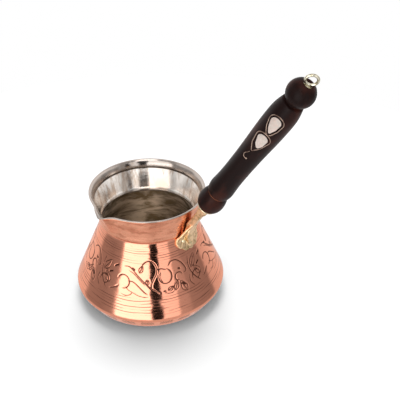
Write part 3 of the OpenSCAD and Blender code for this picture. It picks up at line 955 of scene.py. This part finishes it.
def build_bracket():
    """The casting: the CAD's own shape joined to leaf_web's plate, remeshed and worn soft, with veins."""
    source = frame["nodes"]["handle_bracket"]
    shape = np.array([v.co for v in source.data.vertices]) / MM
    solid = BVHTree.FromPolygons([tuple(v) for v in shape], [tuple(f.vertices) for f in source.data.polygons])

    def arm_x(z):
        hit = solid.ray_cast(Vector((300, 0.2, z)), Vector((-1, 0, 0)))[0]
        return hit[0] if hit else cone_r(CONE_TOP[1]) + 2

    web, web_faces = leaf_web(arm_x)
    mesh = bpy.data.meshes.new("casting")
    mesh.from_pydata((np.vstack([shape, web]) * MM).tolist(), [],
                     [tuple(f.vertices) for f in source.data.polygons]
                     + [tuple(v + len(shape) for v in f) for f in web_faces])
    piece = bpy.data.objects.new("cast_bracket", mesh)
    bpy.context.scene.collection.objects.link(piece)
    remesh = piece.modifiers.new("skin", "REMESH")
    remesh.mode = "VOXEL"
    remesh.voxel_size = SKIN_VOXEL * MM
    smooth = piece.modifiers.new("worn", "SMOOTH")
    smooth.iterations = 6
    smooth.factor = 0.6
    graph = bpy.context.evaluated_depsgraph_get()
    made = bpy.data.meshes.new_from_object(piece.evaluated_get(graph))
    bpy.data.objects.remove(piece)
    co = np.empty(len(made.vertices) * 3)
    made.vertices.foreach_get("co", co)
    co = co.reshape(-1, 3) / MM
    normal = np.empty(len(made.vertices) * 3)
    made.vertices.foreach_get("normal", normal)
    normal = normal.reshape(-1, 3)
    y, z = co[:, 1], co[:, 2]
    leaf = np.clip((VEIN_ROOT[1] - z) / 3, 0, 1) * np.clip(normal[:, 0] * 2, 0, 1)
    hollow = np.zeros(len(co))
    from_root = np.c_[y, z] - VEIN_ROOT
    for tip in VEIN_TIPS:
        line = np.array(tip) - VEIN_ROOT
        t = np.clip((from_root @ line) / (line @ line), 0.25, 0.97)
        away = np.linalg.norm(from_root - t[:, None] * line, axis=1)
        hollow = np.maximum(hollow, np.clip(1 - away / VEIN_W, 0, 1))
    hollow *= leaf
    co = co - normal * (VEIN_DEPTH * hollow)[:, None]
    made.vertices.foreach_set("co", (co * MM).ravel())
    made.materials.clear()
    made.materials.append(CAST_BRASS)
    made.polygons.foreach_set("use_smooth", [True] * len(made.polygons))
    attribute = made.attributes.new("hollow", "FLOAT", "POINT")
    attribute.data.foreach_set("value", hollow.astype(np.float32))
    made.update()
    bracket = bpy.data.objects.new("cast_bracket", made)
    bpy.context.scene.collection.objects.link(bracket)
    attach(bracket, "root")
    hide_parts("handle_bracket")


build_bracket()
recolour("bracket_rivets", RIVET_BRASS)


# ---------------------------------------------------------------- floor, light and camera

CAMERA_AZ = math.radians(42)
CAMERA_EL = math.radians(36.77)
CAMERA_D = 520.8
CAMERA_ABOUT_Z = 41.7                  # the camera stands CAMERA_D from this height on the pot's axis
HEADING, PITCH = math.radians(37.34), math.radians(34.25)
CAMERA_LENS = 69.9
FLOOR_R = 340.0
SUN_AZ, SUN_EL, SUN_SPREAD, SUN_POWER = CAMERA_AZ + math.radians(178), math.radians(64), math.radians(34), 1.8


def build_camera():
    data = bpy.data.cameras.new("camera")
    data.sensor_width = 36.0
    data.lens = CAMERA_LENS
    data.clip_start, data.clip_end = 0.05, 20
    camera = bpy.data.objects.new("camera", data)
    bpy.context.scene.collection.objects.link(camera)
    level = CAMERA_D * math.cos(CAMERA_EL)
    height = CAMERA_ABOUT_Z + CAMERA_D * math.sin(CAMERA_EL)
    spot = (level * math.sin(CAMERA_AZ), -level * math.cos(CAMERA_AZ), height)
    camera.location = [x * MM for x in spot]
    camera.rotation_euler = (math.pi / 2 - PITCH, 0, HEADING)
    bpy.context.scene.camera = camera


def build_floor():
    n = 96
    a = np.arange(n) * 2 * math.pi / n
    points = np.vstack([np.c_[FLOOR_R * np.cos(a), FLOOR_R * np.sin(a), np.zeros(n)], [[0, 0, 0]]])
    mesh = bpy.data.meshes.new("floor")
    mesh.from_pydata((points * MM).tolist(), [], [[i, (i + 1) % n, n] for i in range(n)])
    mesh.materials.append(floor_material())
    floor = bpy.data.objects.new("floor", mesh)
    bpy.context.scene.collection.objects.link(floor)
    # the metal mirrors the world below the horizon, and so never the floor or the shadow on it
    floor.visible_glossy = False


# The studio's greys, as (share of the way round, brightness), near the horizon and higher up. They were
# chosen so that the metal mirrors bright and dark where it does in the photograph.
BANDS_LOW = (
    (0.0, 0.95), (0.09, 1.15), (0.185, 1.0), (0.205, 0.42), (0.29, 0.36), (0.335, 0.46), (0.348, 1.0),
    (0.353, 3.0), (0.493, 2.8), (0.496, 0.012), (0.538, 0.012), (0.543, 1.55), (0.603, 1.4), (0.61, 0.66),
    (0.655, 0.56), (0.665, 0.42), (0.775, 0.34), (0.79, 0.8), (0.88, 1.0), (1.0, 0.95))
BANDS_MIDDLE = (
    (0.0, 0.95), (0.185, 1.0), (0.205, 0.75), (0.26, 1.0), (0.30, 0.95), (0.315, 0.5), (0.345, 0.55),
    (0.353, 1.6), (0.485, 1.8), (0.488, 0.05), (0.55, 0.05), (0.555, 1.5), (0.603, 1.3), (0.62, 0.62),
    (0.665, 0.55), (0.69, 1.0), (0.78, 1.1), (1.0, 0.95))
BANDS_TOP = (
    (0.0, 0.7), (0.2, 0.5), (0.40, 0.28), (0.43, 2.6), (0.56, 2.4), (0.59, 0.28), (0.8, 0.5), (1.0, 0.7))


def banded(n, share, stops):
    """A grey that runs through (share, value) stops, as sums of straight ramps."""
    total = stops[0][1]
    for (a, before), (b, after) in zip(stops, stops[1:]):
        if after != before:
            step = n.remap(share, a, b, 0.0, after - before, smooth=False)
            total = n.math("ADD", total, step)
    return total


def build_world():
    """A pale studio, in greys by direction.

    The metal mirrors two bright panels beside the camera with a dark gap between them, dim sides and a white
    sweep behind. The camera sees plain white, and matt surfaces are lit as if by an even grey.
    """
    world = bpy.data.worlds.new("studio")
    world.use_nodes = True
    bpy.context.scene.world = world
    n = Nodes(world.node_tree)
    ray = n.add("ShaderNodeSeparateXYZ", {0: n.add("ShaderNodeTexCoord").outputs["Generated"]})
    x, y, z = ray.outputs
    turn = n.math("ARCTAN2", y, x)
    # 0.5 from the pot towards the camera, running to 0 and 1 behind the pot
    from_camera = n.math("DIVIDE", n.math("ADD", turn, math.pi / 2 - CAMERA_AZ), 2 * math.pi)
    share = n.math("FRACT", n.math("ADD", from_camera, 0.5))
    near, over, above = (banded(n, share, stops) for stops in (BANDS_LOW, BANDS_MIDDLE, BANDS_TOP))
    value = n.mix(n.remap(z, 0.30, 0.38), near, over)
    value = n.mix(n.remap(z, 0.70, 0.76), value, above)
    value = n.mix(n.remap(z, 0.90, 0.96), value, grey(1.0))
    value = n.mix(n.remap(z, -0.40, -0.55), value, grey(0.82))
    path = n.add("ShaderNodeLightPath")
    diffuse = n.math("MINIMUM", path.outputs["Diffuse Depth"], 1.0)
    value = n.mix(diffuse, value, grey(0.68))
    value = n.mix(path.outputs["Is Camera Ray"], value, grey(1.0))
    shader = n.add("ShaderNodeBackground", {"Color": value, "Strength": 1.0})
    n.add("ShaderNodeOutputWorld", {"Surface": shader.outputs[0]})


def build_sun():
    """A broad soft light, high behind the pot, so that the shadow falls towards the camera."""
    data = bpy.data.lights.new("sun", "SUN")
    data.energy = SUN_POWER
    data.angle = SUN_SPREAD
    light = bpy.data.objects.new("sun", data)
    bpy.context.scene.collection.objects.link(light)
    level = math.cos(SUN_EL)
    towards = Vector((level * math.sin(SUN_AZ), -level * math.cos(SUN_AZ), math.sin(SUN_EL)))
    light.rotation_euler = towards.to_track_quat("Z", "Y").to_euler()
    light.visible_glossy = False


# Ray visibility is set for a plain shadow: only the pot and the bracket cast one, and the copper throws
# no coloured glow on the floor.
for piece in bpy.data.objects:
    if piece.type == "MESH":
        piece.visible_diffuse = piece.name != "copper_pot"
        piece.visible_shadow = piece.name in ("copper_pot", "tin_skin", "cast_bracket")

bpy.context.scene.view_settings.view_transform = "Standard"
build_camera()
build_floor()
build_world()
build_sun()
